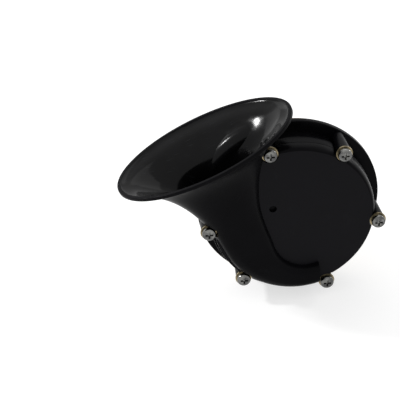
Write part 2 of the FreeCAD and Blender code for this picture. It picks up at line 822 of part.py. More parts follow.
def breaker():
    """Contact breaker under the shelf: two arms with contacts between insulators, riveted through."""
    angle = size("breaker_angle")
    middle = size(BREAKER)
    half = 0.5 * size("breaker_width")
    radial = (middle - half, middle + half)
    root, reach = -size("breaker_root"), size("breaker_reach")
    block_end = root + size("breaker_block")
    shelf = -size("dome_depth") - size("case_sheet")
    leaf_top = shelf - size("insulator_thickness")
    leaf_low = leaf_top - size("leaf_thickness")
    arm_top = leaf_low - 2.0 * size("contact_height")
    arm_low = arm_top - size("breaker_plate")
    stack_low = arm_low - 0.5 * size("insulator_thickness")
    x, z = breaker_place(0.0)
    screw_way = axial_cylinder(size("adjuster_radius + adjuster_way"), arm_top, shelf, x, z)
    ways = [axial_cylinder(size("small_rivet_radius") + size("fit_clearance"), stack_low, shelf,
                           *breaker_place(-offset)) for offset in breaker_rivets()]
    arm = shelf_box(angle, radial, arm_low, arm_top, (root, reach)).cut(ways)
    leaf = shelf_box(angle, radial, leaf_low, leaf_top, (root, reach))
    tip = size("leaf_tip_radius")
    tip_low = size(ARMATURE_TOP) + size("leaf_gap")
    thick = size("leaf_thickness")
    slope = [Base.Vector(middle, leaf_low, 0), Base.Vector(middle, leaf_top, 0),
             Base.Vector(radial[0], leaf_top, 0), Base.Vector(tip, tip_low + thick, 0),
             Base.Vector(tip, tip_low, 0), Base.Vector(radial[0], leaf_low, 0)]
    tongue = Part.Face(Part.makePolygon([*slope, slope[0]])).extrude(Base.Vector(0, 0, size("leaf_tip_width")))
    tongue.translate(Base.Vector(0, 0, size("leaf_tip_offset")))
    leaf = leaf.fuse(turned(tongue, angle)).cut([screw_way, *ways]).removeSplitter()
    insulators = [shelf_box(angle, radial, low, high, (root, block_end)).cut(ways)
                  for low, high in ((leaf_top, shelf), (arm_top, leaf_low), (stack_low, arm_low))]
    at = breaker_place(size("contact_offset"))
    contact, height = size("contact_radius"), size("contact_height")
    rivet = axial_cylinder(size("small_rivet_radius"), stack_low, -size("dome_depth"))
    head, head_height = size("small_rivet_head_radius"), size("small_rivet_head_height")
    rivet = rivet.fuse([axial_cylinder(head, stack_low - head_height, stack_low),
                        axial_cylinder(head, -size("dome_depth"), -size("dome_depth") + head_height)])
    return [feature("contact_bracket", arm),
            feature("moving_contact_spring", leaf),
            feature("contact_insulators", Part.makeCompound(insulators)),
            feature("moving_contact", axial_cylinder(contact, leaf_low - height, leaf_low, *at)),
            feature("fixed_contact", axial_cylinder(contact, arm_top, arm_top + height, *at)),
            group("contact_rivets", rivet.removeSplitter(),
                  [breaker_place(-offset) for offset in breaker_rivets()]),
            adjusting_screw(arm_top + size("fit_clearance"), x, z),
            adjusting_locknut(x, z)]


def adjusting_screw(tip, x, z):
    """Slotted pan-head screw that stands off the shelf and ends on the breaker's arm."""
    under = -size("dome_depth") + size("adjuster_stand")
    top = under + size("adjuster_head_height")
    head = axial_cylinder(size("adjuster_head_radius"), under, top, x, z)
    head = head.makeFillet(size("adjuster_head_rounding"),
                           [edge for edge in head.Edges if near(edge.BoundBox.YMin, top)])
    slot_width = size("adjuster_slot_width")
    reach = size("adjuster_head_radius")
    slot = Part.makeBox(2.0 * reach, size("adjuster_slot_depth"), slot_width,
                        Base.Vector(x - reach, top - size("adjuster_slot_depth"), z - 0.5 * slot_width))
    shank = axial_cylinder(size("adjuster_radius"), tip, under, x, z)
    return feature("adjusting_screw", head.cut(slot).fuse(shank).removeSplitter())


def adjusting_locknut(x, z):
    """Hexagon nut that locks the adjusting screw on the shelf."""
    corner = size("locknut_half_flat") / math.cos(math.radians(30.0))
    low = -size("dome_depth")
    points = []
    for index in range(7):
        across, along = on_circle(corner, 60.0 * index)
        points.append(Base.Vector(x + across, low, z + along))
    prism = Part.Face(Part.makePolygon(points)).extrude(Base.Vector(0, size("locknut_height"), 0))
    bore = axial_cylinder(size("adjuster_radius") + size("fit_clearance"), low, low + size("locknut_height"), x, z)
    return feature("adjusting_locknut", prism.cut(bore))


def terminals():
    """Insulating block with two flat tabs, riveted to the shelf."""
    angle = size("terminal_angle")
    middle = size(TERMINALS)
    shelf = -size("dome_depth")
    top = shelf + size("terminal_base_height")
    half_depth = 0.5 * size("terminal_base_depth")
    half_width = 0.5 * size("terminal_base_width")
    hole = size("terminal_rivet_radius") + size("fit_clearance")
    foot_top = top + size("blade_thickness")
    inside = shelf - size("case_sheet")
    ways = [axial_cylinder(hole, inside, foot_top, x, z) for x, z in terminal_places()]
    base = shelf_box(angle, (middle - half_depth, middle + half_depth), shelf, top,
                     (-half_width, half_width)).cut(ways)
    half_blade = 0.5 * size("blade_width")
    radial = (middle - half_blade, middle + half_blade)
    gap, thick, foot = size("blade_half_gap"), size("blade_thickness"), size("blade_foot")
    blades = []
    for side in (-1, 1):
        upright = sorted((side * gap, side * (gap + thick)))
        flat = sorted((side * gap, side * (gap + foot)))
        tab = shelf_box(angle, radial, top, top + size("blade_length"), upright)
        tab = tab.fuse(shelf_box(angle, radial, top, foot_top, flat))
        eye = Part.makeCylinder(size("blade_hole_radius"), thick,
                                Base.Vector(middle, top + size("blade_hole_height"), upright[0]),
                                Base.Vector(0, 0, 1))
        blades.append(tab.cut([turned(eye, angle), *ways]).removeSplitter())
    head, head_height = size("terminal_rivet_head_radius"), size("terminal_rivet_head_height")
    rivet = axial_cylinder(size("terminal_rivet_radius"), inside, foot_top)
    rivet = rivet.fuse([axial_cylinder(head, inside - head_height, inside),
                        axial_cylinder(head, foot_top, foot_top + head_height)]).removeSplitter()
    return [feature("terminal_block", base),
            feature("terminal_blades", Part.makeCompound(blades)),
            group("terminal_rivets", rivet, terminal_places())]


def export(items):
    """Check every piece and write it to its own file."""
    doc.recompute()
    for item in doc.Objects:
        if "Invalid" in item.State or "Error" in item.State:
            raise RuntimeError(f"{item.Label} did not compute")
    for item in items:
        shape = item.Shape
        if shape.isNull() or not shape.isValid() or not shape.Solids:
            raise RuntimeError(f"{item.Label} has no valid solid")
        shape.exportStep(os.path.join("parts", item.Label + ".step"))


def main():
    pieces = [case_body(), *sealing_rings(), *magnet(), *moving_pieces()]
    pieces += [*part_trumpet(), *flange_fasteners(), *breaker(), *terminals()]
    export(pieces)


main()
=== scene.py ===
"""Blender scene of an electric car horn with a moulded spiral trumpet."""
import json
import logging
import math
from dataclasses import dataclass, field
from enum import Enum
from typing import Sequence

import bmesh
import bpy
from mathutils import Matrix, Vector

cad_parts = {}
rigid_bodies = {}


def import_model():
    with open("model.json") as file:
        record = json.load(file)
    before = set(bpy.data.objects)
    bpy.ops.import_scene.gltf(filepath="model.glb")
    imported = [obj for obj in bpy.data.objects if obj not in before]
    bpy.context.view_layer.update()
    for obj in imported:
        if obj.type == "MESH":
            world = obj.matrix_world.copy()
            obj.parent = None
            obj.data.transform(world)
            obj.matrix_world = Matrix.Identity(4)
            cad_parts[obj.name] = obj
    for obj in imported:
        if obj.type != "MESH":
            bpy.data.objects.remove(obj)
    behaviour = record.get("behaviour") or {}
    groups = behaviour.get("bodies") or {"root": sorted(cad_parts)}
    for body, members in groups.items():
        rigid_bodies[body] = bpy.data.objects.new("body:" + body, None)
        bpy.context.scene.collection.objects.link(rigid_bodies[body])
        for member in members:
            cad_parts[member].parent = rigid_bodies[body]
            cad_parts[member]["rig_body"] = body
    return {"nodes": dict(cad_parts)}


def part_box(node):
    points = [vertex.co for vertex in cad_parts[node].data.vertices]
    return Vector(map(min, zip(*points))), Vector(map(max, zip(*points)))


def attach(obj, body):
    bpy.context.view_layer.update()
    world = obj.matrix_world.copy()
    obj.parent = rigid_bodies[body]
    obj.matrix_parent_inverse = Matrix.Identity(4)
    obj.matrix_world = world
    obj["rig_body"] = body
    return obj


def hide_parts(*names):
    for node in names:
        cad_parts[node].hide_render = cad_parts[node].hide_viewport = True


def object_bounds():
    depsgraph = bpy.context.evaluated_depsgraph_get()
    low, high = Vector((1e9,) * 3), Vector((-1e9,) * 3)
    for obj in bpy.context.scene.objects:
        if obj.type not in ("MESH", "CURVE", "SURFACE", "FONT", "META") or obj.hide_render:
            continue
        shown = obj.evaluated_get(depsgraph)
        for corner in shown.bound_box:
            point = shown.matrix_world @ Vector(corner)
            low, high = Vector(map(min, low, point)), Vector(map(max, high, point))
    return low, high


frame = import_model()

log = logging.getLogger("car_horn")

MM = 0.001
CAD_WELD = 0.002
SPIN_WELD = 0.001
CAD_BOX = [list(corner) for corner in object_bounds()]

Colour = tuple[float, float, float]


class Slot(Enum):
    """Material slots of the record; the new pieces do not use them."""

    BLACK_PLASTIC = "black_plastic"
    YELLOW_ZINC = "zinc_yellow"


class HalfFinish(Enum):
    """Places of the finishes on a trumpet half."""

    SHELL = 0
    PLATE = 1
    BELL = 2


class Effect:
    """A shader node group with named inputs and outputs, built once."""

    def __init__(self, name: str, inputs: Sequence[tuple[str, float]], outputs: Sequence[tuple[str, str]]):
        """Makes the group and its sockets.

        Args:
            name: Name of the group.
            inputs: Name and default of each number that goes in.
            outputs: Name and socket type of each value that comes out.
        """
        self.tree = bpy.data.node_groups.new(name, "ShaderNodeTree")
        for label, value in inputs:
            socket = self.tree.interface.new_socket(label, in_out="INPUT", socket_type="NodeSocketFloat")
            socket.default_value = value
        for label, kind in outputs:
            self.tree.interface.new_socket(label, in_out="OUTPUT", socket_type=kind)
        self.entry = self.tree.nodes.new("NodeGroupInput")
        self.exit = self.tree.nodes.new("NodeGroupOutput")

    def add(self, kind: str, **settings: object) -> bpy.types.Node:
        """Adds a node and sets its properties and numbered or named inputs.

        Args:
            kind: Blender's name of the node type.
            **settings: Properties of the node.

        Returns:
            The new node.
        """
        return add_node(self.tree, kind, **settings)

    def link(self, start: bpy.types.NodeSocket, end: bpy.types.NodeSocket) -> None:
        """Links two sockets of the group."""
        self.tree.links.new(start, end)


def add_node(tree: bpy.types.NodeTree, kind: str, **settings: object) -> bpy.types.Node:
    """Adds a node to a tree.

    Args:
        tree: Tree that the node goes into.
        kind: Blender's name of the node type.
        **settings: Properties of the node.

    Returns:
        The new node.
    """
    node = tree.nodes.new(kind)
    for label, value in settings.items():
        setattr(node, label, value)
    return node


def ramp(tree: bpy.types.NodeTree, low: float, high: float, start: float = 0.0, end: float = 1.0
         ) -> bpy.types.Node:
    """Adds a clamped linear map from one range to another.

    Args:
        tree: Tree that the node goes into.
        low: Value that gives start.
        high: Value that gives end.
        start: What comes out at low and below.
        end: What comes out at high and above.

    Returns:
        The new node, whose input is Value and whose output is Result.
    """
    node = add_node(tree, "ShaderNodeMapRange", clamp=True)
    node.inputs["From Min"].default_value = low
    node.inputs["From Max"].default_value = high
    node.inputs["To Min"].default_value = start
    node.inputs["To Max"].default_value = end
    return node


def cloud_effect() -> Effect:
    """Soft uneven patches, as of handling or of a finish that took unevenly.

    Returns:
        Group that puts out a mask.
    """
    effect = Effect("uneven_patches", [("Scale", 60.0), ("Low", 0.4), ("High", 0.6)],
                    [("Mask", "NodeSocketFloat")])
    place = effect.add("ShaderNodeTexCoord")
    noise = effect.add("ShaderNodeTexNoise")
    noise.inputs["Detail"].default_value = 5.0
    noise.inputs["Roughness"].default_value = 0.6
    level = ramp(effect.tree, 0.4, 0.6)
    effect.link(place.outputs["Object"], noise.inputs["Vector"])
    effect.link(effect.entry.outputs["Scale"], noise.inputs["Scale"])
    effect.link(noise.outputs["Fac"], level.inputs["Value"])
    effect.link(effect.entry.outputs["Low"], level.inputs["From Min"])
    effect.link(effect.entry.outputs["High"], level.inputs["From Max"])
    effect.link(level.outputs["Result"], effect.exit.inputs["Mask"])
    return effect


def grain_effect() -> Effect:
    """Fine raised grain of a spark-eroded mould face or of a plated sheet.

    Returns:
        Group that puts out a height.
    """
    effect = Effect("fine_grain", [("Scale", 2500.0), ("Coarse Scale", 400.0)],
                    [("Height", "NodeSocketFloat")])
    place = effect.add("ShaderNodeTexCoord")
    fine = effect.add("ShaderNodeTexNoise")
    coarse = effect.add("ShaderNodeTexNoise")
    fine.inputs["Detail"].default_value = 3.0
    total = effect.add("ShaderNodeMath", operation="ADD")
    for noise, label in ((fine, "Scale"), (coarse, "Coarse Scale")):
        effect.link(place.outputs["Object"], noise.inputs["Vector"])
        effect.link(effect.entry.outputs[label], noise.inputs["Scale"])
    effect.link(fine.outputs["Fac"], total.inputs[0])
    effect.link(coarse.outputs["Fac"], total.inputs[1])
    effect.link(total.outputs["Value"], effect.exit.inputs["Height"])
    return effect


def scuff_effect() -> Effect:
    """Thin scattered scratches from handling, in two directions; in the bell's finish they also stand for a
    painted highlight streak.

    Returns:
        Group that puts out a mask.
    """
    effect = Effect("thin_scuffs", [("Scale", 120.0), ("Amount", 0.5)], [("Mask", "NodeSocketFloat")])
    place = effect.add("ShaderNodeTexCoord")
    masks = []
    for turn in (0.5, -0.9):
        mapping = effect.add("ShaderNodeMapping")
        mapping.inputs["Rotation"].default_value = (turn, turn * 0.6, turn)
        mapping.inputs["Scale"].default_value = (1.0, 14.0, 1.0)
        noise = effect.add("ShaderNodeTexNoise")
        noise.inputs["Detail"].default_value = 4.0
        level = ramp(effect.tree, 0.66, 0.74)
        effect.link(place.outputs["Object"], mapping.inputs["Vector"])
        effect.link(mapping.outputs["Vector"], noise.inputs["Vector"])
        effect.link(effect.entry.outputs["Scale"], noise.inputs["Scale"])
        effect.link(noise.outputs["Fac"], level.inputs["Value"])
        masks.append(level)
    both = effect.add("ShaderNodeMath", operation="MAXIMUM")
    scaled = effect.add("ShaderNodeMath", operation="MULTIPLY")
    effect.link(masks[0].outputs["Result"], both.inputs[0])
    effect.link(masks[1].outputs["Result"], both.inputs[1])
    effect.link(both.outputs["Value"], scaled.inputs[0])
    effect.link(effect.entry.outputs["Amount"], scaled.inputs[1])
    effect.link(scaled.outputs["Value"], effect.exit.inputs["Mask"])
    return effect


@dataclass
class EffectSet:
    """The node groups that the finishes share."""

    patches: Effect = field(default_factory=cloud_effect)
    grain: Effect = field(default_factory=grain_effect)
    scuffs: Effect = field(default_factory=scuff_effect)


@dataclass(frozen=True)
class Finish:
    """A surface finish: two tones in soft patches, gloss that varies, grain and scuffs; in the bell's finish
    the scuffs are also a painted highlight streak.
    """

    name: str
    colour: Colour
    second_colour: Colour
    roughness: float
    second_roughness: float
    third_colour: Colour | None = None
    metallic: float = 0.0
    specular: float = 0.5
    ior: float = 1.5
    patch_scale: float = 60.0
    grain_scale: float = 2500.0
    grain_height: float = 0.02
    scuff_amount: float = 0.4
    scuff_scale: float = 120.0
    scuff_and_highlight_colour: Colour = (0.05, 0.05, 0.05)

    def material(self, effects: EffectSet) -> bpy.types.Material:
        """Builds the finish as a material.

        Args:
            effects: Shared node groups.

        Returns:
            The material.
        """
        made = bpy.data.materials.new(self.name)
        made.use_nodes = True
        tree = made.node_tree
        shader = tree.nodes["Principled BSDF"]
        shader.inputs["Metallic"].default_value = self.metallic
        shader.inputs["Specular IOR Level"].default_value = self.specular
        shader.inputs["IOR"].default_value = self.ior
        patches = self.placed(tree, effects.patches, Scale=self.patch_scale)
        scuffs = self.placed(tree, effects.scuffs, Scale=self.scuff_scale, Amount=self.scuff_amount)
        grain = self.placed(tree, effects.grain, Scale=self.grain_scale)
        tone = add_node(tree, "ShaderNodeMix", data_type="RGBA")
        tone.inputs["A"].default_value = (*self.colour, 1.0)
        tone.inputs["B"].default_value = (*self.second_colour, 1.0)
        tree.links.new(patches.outputs["Mask"], tone.inputs["Factor"])
        if self.third_colour:
            tone = self.third_tone(tree, effects, tone)
        # Scuff colour over the tones: handling wear, and in the bell's finish also a painted highlight
        # streak.
        scuff_and_highlight_mix = add_node(tree, "ShaderNodeMix", data_type="RGBA")
        scuff_and_highlight_mix.inputs["B"].default_value = (*self.scuff_and_highlight_colour, 1.0)
        tree.links.new(scuffs.outputs["Mask"], scuff_and_highlight_mix.inputs["Factor"])
        tree.links.new(tone.outputs["Result"], scuff_and_highlight_mix.inputs["A"])
        tree.links.new(scuff_and_highlight_mix.outputs["Result"], shader.inputs["Base Color"])
        rough = ramp(tree, 0.0, 1.0, self.roughness, self.second_roughness)
        both = add_node(tree, "ShaderNodeMath", operation="ADD", use_clamp=True)
        tree.links.new(patches.outputs["Mask"], both.inputs[0])
        tree.links.new(scuffs.outputs["Mask"], both.inputs[1])
        tree.links.new(both.outputs["Value"], rough.inputs["Value"])
        tree.links.new(rough.outputs["Result"], shader.inputs["Roughness"])
        bump = add_node(tree, "ShaderNodeBump")
        bump.inputs["Strength"].default_value = 1.0
        bump.inputs["Distance"].default_value = self.grain_height * MM
        tree.links.new(grain.outputs["Height"], bump.inputs["Height"])
        tree.links.new(bump.outputs["Normal"], shader.inputs["Normal"])
        return made

    def third_tone(self, tree: bpy.types.NodeTree, effects: EffectSet, tone: bpy.types.Node
                   ) -> bpy.types.Node:
        """Mixes the third colour in, in patches of another size.

        Args:
            tree: The material's tree.
            effects: Shared node groups.
            tone: Node with the first two colours.

        Returns:
            Node with all three colours.
        """
        patches = self.placed(tree, effects.patches, Scale=self.patch_scale * 0.37, Low=0.46, High=0.62)
        mixed = add_node(tree, "ShaderNodeMix", data_type="RGBA")
        mixed.inputs["B"].default_value = (*self.third_colour, 1.0)
        tree.links.new(patches.outputs["Mask"], mixed.inputs["Factor"])
        tree.links.new(tone.outputs["Result"], mixed.inputs["A"])
        return mixed

    @staticmethod
    def placed(tree: bpy.types.NodeTree, effect: Effect, **values: float) -> bpy.types.Node:
        """Places a shared group in a material with its own values.

        Args:
            tree: The material's tree.
            effect: The shared group.
            **values: Value of each named input, with _ for a space.

        Returns:
            The group node.
        """
        node = add_node(tree, "ShaderNodeGroup", node_tree=effect.tree)
        for label, value in values.items():
            node.inputs[label.replace("_", " ")].default_value = value
        return node


PLATE_PLASTIC = Finish("plate_black_plastic", (0.0052, 0.0050, 0.0064), (0.0066, 0.0063, 0.0080), 0.42, 0.5,
                       specular=0.08, grain_scale=3200.0, grain_height=0.03, scuff_amount=0.25,
                       scuff_and_highlight_colour=(0.012, 0.012, 0.014))
SHELL_PLASTIC = Finish("shell_black_plastic", (0.0030, 0.0029, 0.0036), (0.0040, 0.0039, 0.0048), 0.26, 0.34,
                       specular=0.1, ior=1.28, grain_height=0.006, patch_scale=45.0,
                       scuff_amount=0.3, scuff_and_highlight_colour=(0.010, 0.010, 0.012))
# The bell's scuffs are denser and lighter than on the other plastics: partly handling wear, partly a painted
# highlight streak on the bell's inner wall.
BELL_PLASTIC = Finish("bell_black_plastic", (0.0022, 0.0022, 0.0024), (0.0034, 0.0034, 0.0038), 0.1, 0.2,
                      specular=0.12, grain_height=0.003, patch_scale=45.0,
                      scuff_amount=0.6, scuff_and_highlight_colour=(0.016, 0.017, 0.02))
YELLOW_ZINC = Finish("yellow_zinc", (0.72, 0.58, 0.36), (0.60, 0.38, 0.33), 0.2, 0.34, (0.50, 0.52, 0.30),
                     metallic=1.0, patch_scale=35.0, grain_height=0.01, scuff_and_highlight_colour=(0.5, 0.42, 0.3))
BRIGHT_ZINC = Finish("bright_zinc", (0.2, 0.2, 0.19), (0.09, 0.09, 0.09), 0.14, 0.26, metallic=1.0,
                     patch_scale=250.0, grain_height=0.01, scuff_and_highlight_colour=(0.5, 0.5, 0.5))
GOLD_ZINC = Finish("gold_zinc", (0.34, 0.28, 0.17), (0.18, 0.15, 0.09), 0.22, 0.34, metallic=1.0,
                   patch_scale=250.0, grain_height=0.01, scuff_and_highlight_colour=(0.5, 0.45, 0.3))
COPPERY_STEEL = Finish("coppery_stud", (0.58, 0.38, 0.26), (0.46, 0.34, 0.26), 0.3, 0.42, metallic=1.0,
                       patch_scale=200.0, grain_height=0.01, scuff_and_highlight_colour=(0.5, 0.45, 0.4))
BARE_STEEL = Finish("bare_steel", (0.50, 0.50, 0.50), (0.42, 0.42, 0.42), 0.32, 0.45, metallic=1.0,
                    scuff_and_highlight_colour=(0.6, 0.6, 0.6))
SPRING_STEEL = Finish("spring_steel", (0.40, 0.40, 0.41), (0.34, 0.34, 0.36), 0.26, 0.36, metallic=1.0,
                      scuff_and_highlight_colour=(0.55, 0.55, 0.55))
COPPER_WIRE = Finish("copper_wire", (0.62, 0.26, 0.12), (0.5, 0.2, 0.09), 0.3, 0.4, metallic=1.0,
                     grain_scale=900.0, grain_height=0.05, scuff_amount=0.0)
NATURAL_NYLON = Finish("natural_nylon", (0.74, 0.70, 0.58), (0.68, 0.64, 0.52), 0.45, 0.55,
                       scuff_and_highlight_colour=(0.6, 0.56, 0.48))
FIBRE_BOARD = Finish("fibre_board", (0.16, 0.08, 0.04), (0.20, 0.10, 0.05), 0.5, 0.62,
                     scuff_and_highlight_colour=(0.26, 0.16, 0.1))
GASKET_PAPER = Finish("gasket_paper", (0.30, 0.25, 0.16), (0.24, 0.19, 0.12), 0.8, 0.9, specular=0.2,
                      grain_height=0.05, scuff_amount=0.0)
CONTACT_METAL = Finish("contact_metal", (0.30, 0.30, 0.31), (0.22, 0.22, 0.24), 0.4, 0.5, metallic=1.0)
ROLLED_BRASS = Finish("rolled_brass", (0.72, 0.54, 0.24), (0.60, 0.44, 0.20), 0.25, 0.38, metallic=1.0,
                      scuff_and_highlight_colour=(0.5, 0.4, 0.2))


def smooth_copy(node: str, crease_degrees: float) -> bpy.types.Object:
    """Copies a CAD node with its loose triangles joined and its curved faces shaded smooth.

    Args:
        node: Name of the CAD node.
        crease_degrees: Edges that fold more than this stay sharp.

    Returns:
        The copy, riding on the node's body and standing for it.
    """
    source = frame["nodes"][node]
    mesh = source.data.copy()
    mesh.name = node + "_skin"
    work = bmesh.new()
    work.from_mesh(mesh)
    bmesh.ops.remove_doubles(work, verts=work.verts, dist=CAD_WELD * MM)
    crease = math.radians(crease_degrees)
    for face in work.faces:
        face.smooth = True
    for edge in work.edges:
        edge.smooth = len(edge.link_faces) == 2 and edge.calc_face_angle(0.0) < crease
    work.to_mesh(mesh)
    work.free()
    copy = bpy.data.objects.new(node + "_skin", mesh)
    bpy.context.scene.collection.objects.link(copy)
    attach(copy, source["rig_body"])
    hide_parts(node)
    return copy


def new_piece(name: str, work: bmesh.types.BMesh, crease_degrees: float) -> bpy.types.Object:
    """Makes an object of a mesh, with its faces turned outwards and shaded smooth between its creases.

    Args:
        name: Name of the object.
        work: The mesh, which is used up.
        crease_degrees: Edges that fold more than this stay sharp.

    Returns:
        The object, riding on the horn.
    """
    bmesh.ops.recalc_face_normals(work, faces=work.faces)
    crease = math.radians(crease_degrees)
    for face in work.faces:
        face.smooth = True
    for edge in work.edges:
        edge.smooth = edge.calc_face_angle(0.0) < crease
    mesh = bpy.data.meshes.new(name)
    work.to_mesh(mesh)
    work.free()
    piece = bpy.data.objects.new(name, mesh)
    bpy.context.scene.collection.objects.link(piece)
    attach(piece, "horn")
    return piece


def turned_strip(work: bmesh.types.BMesh, profile: Sequence[tuple[float, float]], start: float, end: float,
                 steps: int) -> None:
    """Turns a closed profile about the Y axis through part of a turn, with closed ends.

    Args:
        work: Mesh that it is added to.
        profile: Corners as radius and place along Y, in millimetres.
        start: First angle in degrees, from X towards Z.
        end: Last angle in degrees.
        steps: Number of steps between them.
    """
    angle = math.radians(start)
    corners = [work.verts.new((radius * math.cos(angle) * MM, place * MM, radius * math.sin(angle) * MM))
               for radius, place in profile]
    face = work.faces.new(corners)
    bmesh.ops.spin(work, geom=[face, *face.edges, *corners], cent=(0.0, 0.0, 0.0), axis=(0.0, 1.0, 0.0),
                   angle=-math.radians(end - start), steps=steps)


def dress(piece: bpy.types.Object, material: bpy.types.Material) -> None:
    """Gives a piece one material.

    Args:
        piece: The object.
        material: Its material.
    """
    piece.data.materials.clear()
    piece.data.materials.append(material)


@dataclass
class Trumpet:
    """The two moulded halves of the spiral trumpet."""

    crease_degrees: float = 24.0
    plate_radius: float = 44.9
    plate_place: float = -57.0
    plate_tolerance: float = 0.05
    bell_heading: float = 114.9
    bell_offset: float = 28.0
    bell_place: float = -48.5
    bell_start: float = 4.0
    bell_half_length: float = 56.0
    bell_half_depth: float = 34.0
    flattest_plate: float = 0.999
    least_inward: float = 0.1

    def build(self, effects: EffectSet) -> list[bpy.types.Object]:
        """Makes both halves.

        Args:
            effects: Shared node groups.

        Returns:
            The finished pieces.
        """
        finishes = [finish.material(effects) for finish in (SHELL_PLASTIC, PLATE_PLASTIC, BELL_PLASTIC)]
        halves = []
        for node in ("trumpet_front", "trumpet_back"):
            half = smooth_copy(node, self.crease_degrees)
            dress(half, finishes[HalfFinish.SHELL.value])
            for finish in finishes[1:]:
                half.data.materials.append(finish)
            self.mark_faces(half)
            halves.append(half)
        return halves

    def mark_faces(self, half: bpy.types.Object) -> None:
        """Gives the flat plate and the inside of the bell their own finishes.

        Args:
            half: One half, with the three finishes in its slots.
        """
        for face in half.data.polygons:
            if self.on_plate(face):
                face.material_index = HalfFinish.PLATE.value
            elif self.in_bell(face):
                face.material_index = HalfFinish.BELL.value

    def on_plate(self, face: bpy.types.MeshPolygon) -> bool:
        """Whether a face is on the flat front plate.

        Args:
            face: Face of a half.

        Returns:
            True on the plate.
        """
        reach = math.hypot(face.center.x, face.center.z)
        return (face.normal.y < -self.flattest_plate and reach < self.plate_radius * MM
                and abs(face.center.y - self.plate_place * MM) < self.plate_tolerance * MM)

    def in_bell(self, face: bpy.types.MeshPolygon) -> bool:
        """Whether a face is on the inside of the bell: it looks towards the bell's middle line.

        Args:
            face: Face of a half.

        Returns:
            True inside the bell.
        """
        heading = math.radians(self.bell_heading)
        ahead = Vector((math.cos(heading), 0.0, math.sin(heading)))
        across = Vector((-math.sin(heading), 0.0, math.cos(heading)))
        along = face.center.dot(ahead)
        if along < self.bell_start * MM:
            return False
        middle = ahead * along + across * (self.bell_offset * MM)
        middle.y = self.bell_place * MM
        away = face.center - middle
        near = math.hypot(away.dot(across) / self.bell_half_length, away.y / self.bell_half_depth) < MM
        return near and face.normal.dot(away.normalized()) < -self.least_inward


@dataclass
class PlateEdge:
    """Round edge between the front plate and the skirt, broken by the pockets of the free screws."""

    spans: tuple[tuple[float, float], ...] = ((63.0, 102.0), (1.2, 50.2), (-58.6, -12.0))
    radius: float = 44.1
    width: float = 2.38
    back: float = -51.5
    depth: float = 5.48
    points: int = 10
    steps: int = 36
    sunk: float = 0.6
    back_lap: float = 0.3
    front_lap: float = 0.2
    crease_degrees: float = 50.0

    def build(self, effects: EffectSet) -> list[bpy.types.Object]:
        """Makes the edge as one piece of three lengths.

        Args:
            effects: Shared node groups.

        Returns:
            The finished piece.
        """
        profile = [(self.radius - self.sunk, self.back + self.back_lap)]
        for index in range(self.points + 1):
            turn = 0.5 * math.pi * index / self.points
            profile.append((self.radius + self.width * math.cos(turn),
                            self.back - self.depth * math.sin(turn)))
        profile.append((self.radius - self.sunk, self.back - self.depth + self.front_lap))
        work = bmesh.new()
        for start, end in self.spans:
            turned_strip(work, profile, start, end, self.steps)
        piece = new_piece("plate_edge", work, self.crease_degrees)
        dress(piece, SHELL_PLASTIC.material(effects))
        return [piece]


@dataclass
class Stud:
    """Magnet core and mounting stud in one, with ring grooves for its thread."""

    core_radius: float = 8.0
    core_end: float = -1.2
    shoulder_radius: float = 4.2
    pitch: float = 1.25
    first: float = 0.8
    crest: float = 4.0
    root: float = 3.4
    root_start: float = 0.45
    root_end: float = 0.55
    crest_start: float = 0.95
    end_chamfer: float = 0.6
    steps: int = 64
    crease_degrees: float = 30.0

    def build(self, effects: EffectSet) -> list[bpy.types.Object]:
        """Makes the turned piece that stands for the plain core and stud.

        Args:
            effects: Shared node groups.

        Returns:
            The finished piece.
        """
        low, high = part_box("core_stud")
        profile = [(0.0, low.y / MM), (self.core_radius, low.y / MM), (self.core_radius, self.core_end),
                   (self.shoulder_radius, self.core_end), (self.shoulder_radius, 0.0), (self.crest, 0.0)]
        place = self.first
        while place + self.pitch < high.y / MM - self.end_chamfer:
            profile += [(self.crest, place), (self.root, place + self.root_start * self.pitch),
                        (self.root, place + self.root_end * self.pitch),
                        (self.crest, place + self.crest_start * self.pitch)]
            place += self.pitch
        profile += [(self.crest, place), (self.root, high.y / MM), (0.0, high.y / MM)]
        work = bmesh.new()
        line = [work.verts.new((radius * MM, along * MM, 0.0)) for radius, along in profile]
        edges = [work.edges.new(pair) for pair in zip(line, line[1:])]
        bmesh.ops.spin(work, geom=line + edges, cent=(0.0, 0.0, 0.0), axis=(0.0, 1.0, 0.0),
                       angle=2.0 * math.pi, steps=self.steps, use_merge=True)
        bmesh.ops.remove_doubles(work, verts=work.verts, dist=SPIN_WELD * MM)
        piece = new_piece("core_stud_threaded", work, self.crease_degrees)
        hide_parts("core_stud")
        dress(piece, COPPERY_STEEL.material(effects))
        return [piece]


@dataclass
class Fittings:
    """Every other piece, which keeps its CAD shape."""

    finishes: dict[str, Finish] = field(default_factory=lambda: {
        "trumpet_screws": BRIGHT_ZINC, "flat_washers": GOLD_ZINC, "spring_washers": BRIGHT_ZINC,
        "case": YELLOW_ZINC, "stud_collar": BRIGHT_ZINC,
        "gasket_rear": GASKET_PAPER, "gasket_front": GASKET_PAPER, "diaphragm": SPRING_STEEL,
        "coil_bobbin": NATURAL_NYLON, "coil_winding": COPPER_WIRE, "armature": BARE_STEEL,
        "armature_rivet": BARE_STEEL, "diaphragm_washer": BARE_STEEL, "contact_bracket": BARE_STEEL,
        "moving_contact_spring": SPRING_STEEL, "contact_insulators": FIBRE_BOARD,
        "moving_contact": CONTACT_METAL, "fixed_contact": CONTACT_METAL, "contact_rivets": ROLLED_BRASS,
        "adjusting_screw": BRIGHT_ZINC, "adjusting_locknut": BRIGHT_ZINC, "terminal_block": FIBRE_BOARD,
        "terminal_blades": ROLLED_BRASS, "terminal_rivets": ROLLED_BRASS,
    })

    def build(self, effects: EffectSet) -> list[bpy.types.Object]:
        """Dresses each CAD node.

        Args:
            effects: Shared node groups.

        Returns:
            The dressed nodes.
        """
        materials = {finish.name: finish.material(effects) for finish in self.finishes.values()}
        dressed = []
        for node, finish in self.finishes.items():
            piece = frame["nodes"][node]
            dress(piece, materials[finish.name])
            dressed.append(piece)
        return dressed


